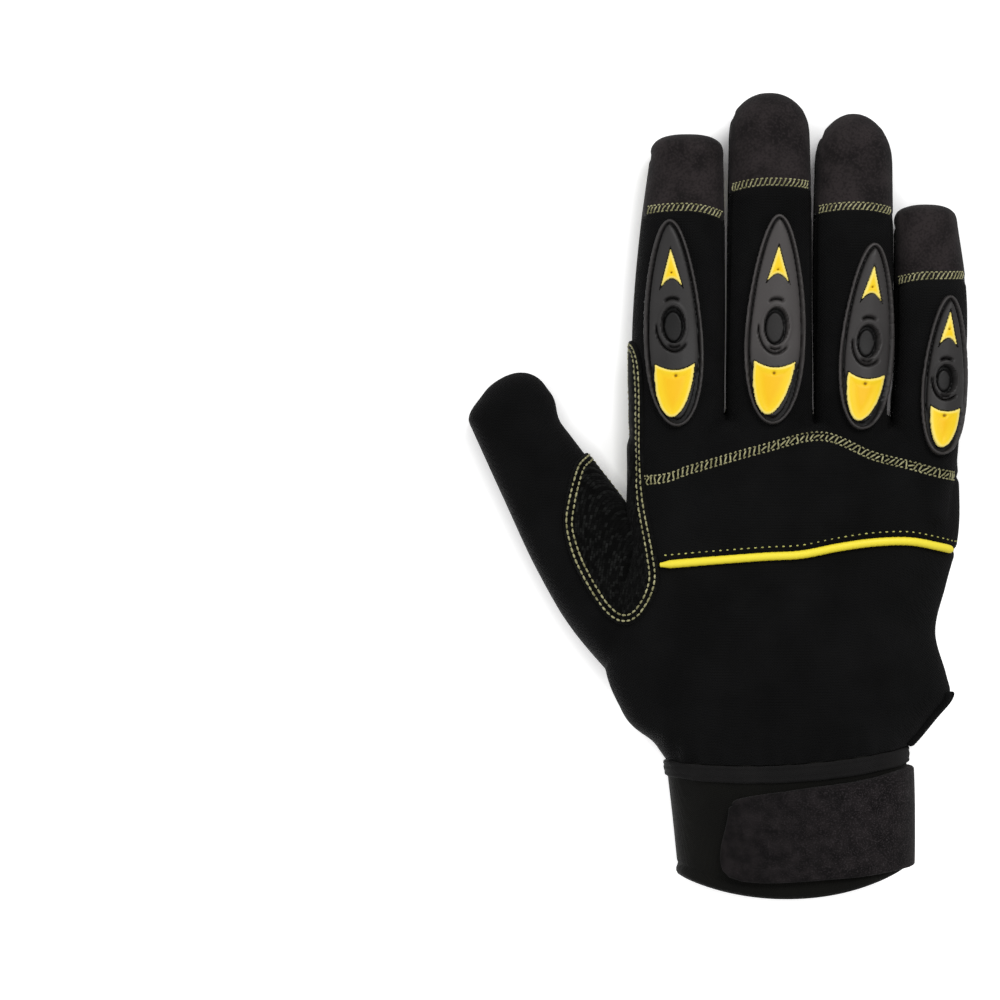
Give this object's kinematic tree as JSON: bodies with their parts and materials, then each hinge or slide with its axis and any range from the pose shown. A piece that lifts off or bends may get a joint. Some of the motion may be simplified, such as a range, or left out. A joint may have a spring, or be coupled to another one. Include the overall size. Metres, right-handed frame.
{
  "type": "mechanic glove",
  "caption": "Right-hand mechanic glove with stretch back, rubber finger guards, grip-patched palm and a wrist strap; protects the hand at work.",
  "frame": {"origin": "on the surface that the glove lies on, under the middle of its bounding box", "axes": "+Y along the fingers, +Z from the palm up to the back of the hand, +X towards the little finger"},
  "size_m": [0.1528, 0.2442, 0.0458],
  "materials": {
    "stretch_knit": "black stretch knit with a fine rib",
    "suede_leather": "dark charcoal synthetic suede",
    "grip_fabric": "black and grey woven grip fabric with raised dots",
    "guard_rubber": "moulded dark grey rubber, satin",
    "yellow_rubber": "moulded yellow rubber inserts",
    "yellow_piping": "yellow covered piping cord",
    "thread": "yellow-green sewing thread",
    "neoprene": "black knit-faced neoprene",
    "hem_band": "dark grey woven binding",
    "loop_fabric": "brushed dark grey loop fabric"
  },
  "bodies": {
    "root": {"palm_panel": "suede_leather", "index_tip_cap": "suede_leather", "middle_tip_cap": "suede_leather", "ring_tip_cap": "suede_leather", "little_tip_cap": "suede_leather", "index_middle_fork": "stretch_knit", "middle_ring_fork": "stretch_knit", "ring_little_fork": "stretch_knit", "finger_back_panel": "stretch_knit", "knuckle_panel": "stretch_knit", "hand_back_panel": "stretch_knit", "knuckle_piping": "yellow_piping", "palm_grip_patch": "grip_fabric", "index_grip_patch": "grip_fabric", "middle_grip_patch": "grip_fabric", "saddle_patch": "grip_fabric", "index_guard": "guard_rubber", "index_guard_arrow": "yellow_rubber", "index_guard_scoop": "yellow_rubber", "middle_guard": "guard_rubber", "middle_guard_arrow": "yellow_rubber", "middle_guard_scoop": "yellow_rubber", "ring_guard": "guard_rubber", "ring_guard_arrow": "yellow_rubber", "ring_guard_scoop": "yellow_rubber", "little_guard": "guard_rubber", "little_guard_arrow": "yellow_rubber", "little_guard_scoop": "yellow_rubber", "cuff": "neoprene", "cuff_hem_band": "hem_band", "closure_strap": "loop_fabric"}
  },
  "joints": []
}
